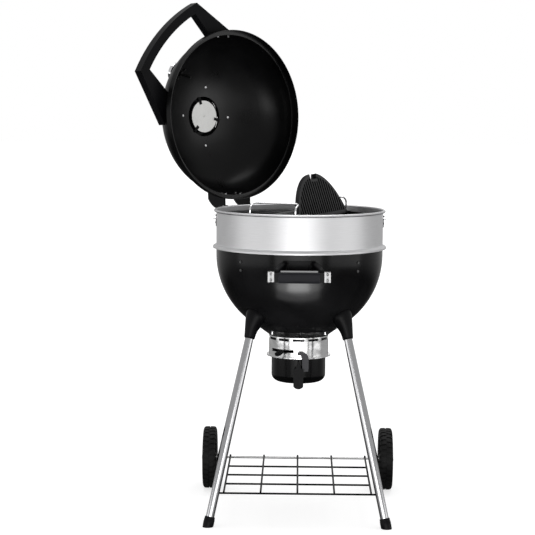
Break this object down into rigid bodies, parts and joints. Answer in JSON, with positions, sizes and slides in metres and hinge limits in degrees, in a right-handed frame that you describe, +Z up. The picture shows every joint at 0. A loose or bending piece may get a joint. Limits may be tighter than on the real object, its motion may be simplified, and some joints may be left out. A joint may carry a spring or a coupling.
{
  "type": "kettle charcoal grill",
  "caption": "Round kettle charcoal grill on splayed tube legs with a hinged domed lid, steel ring, flap grate, ash catcher, wire shelf and rear wheels.",
  "frame": {"origin": "on the floor, straight under the bowl's axis", "axes": "+Z up, front (handle side) -Y, wheels at +Y, +X to the right seen from the front; the lid stands open at rest"},
  "size_m": [0.9132, 0.858, 1.7358],
  "materials": {
    "black_enamel": "high-gloss porcelain enamel",
    "ring_steel": "horizontally brushed stainless steel",
    "collar_steel": "satin stainless steel",
    "bright_steel": "plated steel",
    "leg_chrome": "polished chrome tube",
    "hardware_chrome": "polished",
    "lift_wire_chrome": "polished wire",
    "vent_disc_metal": "satin",
    "black_plastic": "satin glass-filled nylon",
    "grip_plastic": "dark grey satin",
    "wheel_plastic": "satin",
    "black_wire": "black coated wire",
    "cast_iron": "enamelled, matt",
    "tyre_rubber": "moulded tread",
    "dial_enamel": "printed dial",
    "clear_glass": "clear",
    "needle_red": "painted"
  },
  "bodies": {
    "kettle": {"bowl": "black_enamel", "cooking_ring": "ring_steel", "ring_clips": "bright_steel", "ring_clip_screws": "hardware_chrome", "grate_brackets": "bright_steel", "grate_bracket_plates": "black_plastic", "grate_bracket_bolts": "hardware_chrome", "leg_front_left": "leg_chrome", "leg_front_right": "leg_chrome", "leg_back_left": "leg_chrome", "leg_back_right": "leg_chrome", "leg_socket_front_left": "black_plastic", "leg_socket_front_right": "black_plastic", "leg_socket_back_left": "black_plastic", "leg_socket_back_right": "black_plastic", "foot_cap_left": "black_plastic", "foot_cap_right": "black_plastic", "axle": "bright_steel", "shelf_rack": "black_wire", "charcoal_grate_supports": "bright_steel", "front_handle_shield": "black_plastic", "front_handle_arms": "black_plastic", "front_handle_grip": "grip_plastic", "front_handle_caps": "bright_steel", "vent_collar": "collar_steel", "vent_collar_rivets": "hardware_chrome", "hinge_base": "black_plastic", "hinge_pin": "bright_steel", "hinge_base_screws": "hardware_chrome"},
    "lid": {"lid_shell": "black_enamel", "lid_handle": "black_plastic", "lid_handle_screws": "hardware_chrome", "lid_hinge_arms": "black_plastic", "lid_hinge_screws": "hardware_chrome", "top_vent_base": "black_enamel", "top_vent_screws": "hardware_chrome", "top_vent_disc": "vent_disc_metal", "top_vent_clips": "black_plastic", "thermometer_case": "black_plastic", "thermometer_bezel": "hardware_chrome", "thermometer_dial": "dial_enamel", "thermometer_lens": "clear_glass", "thermometer_stem": "bright_steel", "thermometer_nuts": "hardware_chrome"},
    "vent_cap": {"top_vent_cap": "black_enamel"},
    "gauge_needle": {"thermometer_needle": "needle_red"},
    "cooking_grate": {"grate_frame": "cast_iron", "grate_lift_handles": "lift_wire_chrome"},
    "flap_right": {"grate_flap_right": "cast_iron"},
    "flap_left": {"grate_flap_left": "cast_iron"},
    "charcoal_grate": {"charcoal_grate": "bright_steel"},
    "sweeper": {"sweeper_blades": "bright_steel", "sweeper_shaft": "bright_steel", "sweeper_lever": "black_plastic"},
    "ash_catcher_pan": {"ash_pan": "black_enamel", "ash_pan_handle": "black_plastic"},
    "left_wheel": {"wheel_left": "wheel_plastic", "tyre_left": "tyre_rubber"},
    "right_wheel": {"wheel_right": "wheel_plastic", "tyre_right": "tyre_rubber"}
  },
  "joints": [
    {"name": "lid_hinge", "type": "hinge", "parent": "kettle", "child": "lid", "pos_m": [-0.22117, 0.23718, 1.022], "axis": [-0.7314, -0.682, 0], "range_deg": [-92.8, 0]},
    {"name": "vent_cap_turn", "type": "hinge", "parent": "lid", "child": "vent_cap", "pos_m": [-0.36276, 0.38902, 1.33653], "axis": [-0.6812, 0.7305, -0.0488], "range_deg": [-30, 30]},
    {"name": "thermometer_needle", "type": "hinge", "parent": "lid", "child": "gauge_needle", "pos_m": [-0.44394, 0.26131, 1.49565], "axis": [0.8433, -0.4566, -0.2834], "range_deg": [0, 270], "stiffness_Nm_per_rad": 0.01},
    {"name": "grate_lift", "type": "slide", "parent": "kettle", "child": "cooking_grate", "axis": [0, 0, 1], "range_m": [0, 0.12]},
    {"name": "grate_flap_right", "type": "hinge", "parent": "cooking_grate", "child": "flap_right", "pos_m": [0.07505, -0.02911, 1.01], "axis": [-0.3616, -0.9323, 0], "range_deg": [-108, 0]},
    {"name": "grate_flap_left", "type": "hinge", "parent": "cooking_grate", "child": "flap_left", "pos_m": [-0.07505, 0.02911, 1.01], "axis": [0.3616, 0.9323, 0], "range_deg": [0, 108]},
    {"name": "charcoal_grate_lift", "type": "slide", "parent": "kettle", "child": "charcoal_grate", "axis": [0, 0, 1], "range_m": [0, 0.15]},
    {"name": "vent_lever", "type": "hinge", "parent": "kettle", "child": "sweeper", "pos_m": [0, 0, 0.575], "axis": [0, 0, 1], "range_deg": [-25, 20]},
    {"name": "ash_pan_drop", "type": "slide", "parent": "kettle", "child": "ash_catcher_pan", "axis": [0, 0, -1], "range_m": [0, 0.11]},
    {"name": "wheel_left_spin", "type": "hinge", "parent": "kettle", "child": "left_wheel", "pos_m": [-0.317, 0.2765, 0.111], "axis": [1, 0, 0], "continuous": true},
    {"name": "wheel_right_spin", "type": "hinge", "parent": "kettle", "child": "right_wheel", "pos_m": [0.317, 0.2765, 0.111], "axis": [1, 0, 0], "continuous": true}
  ]
}
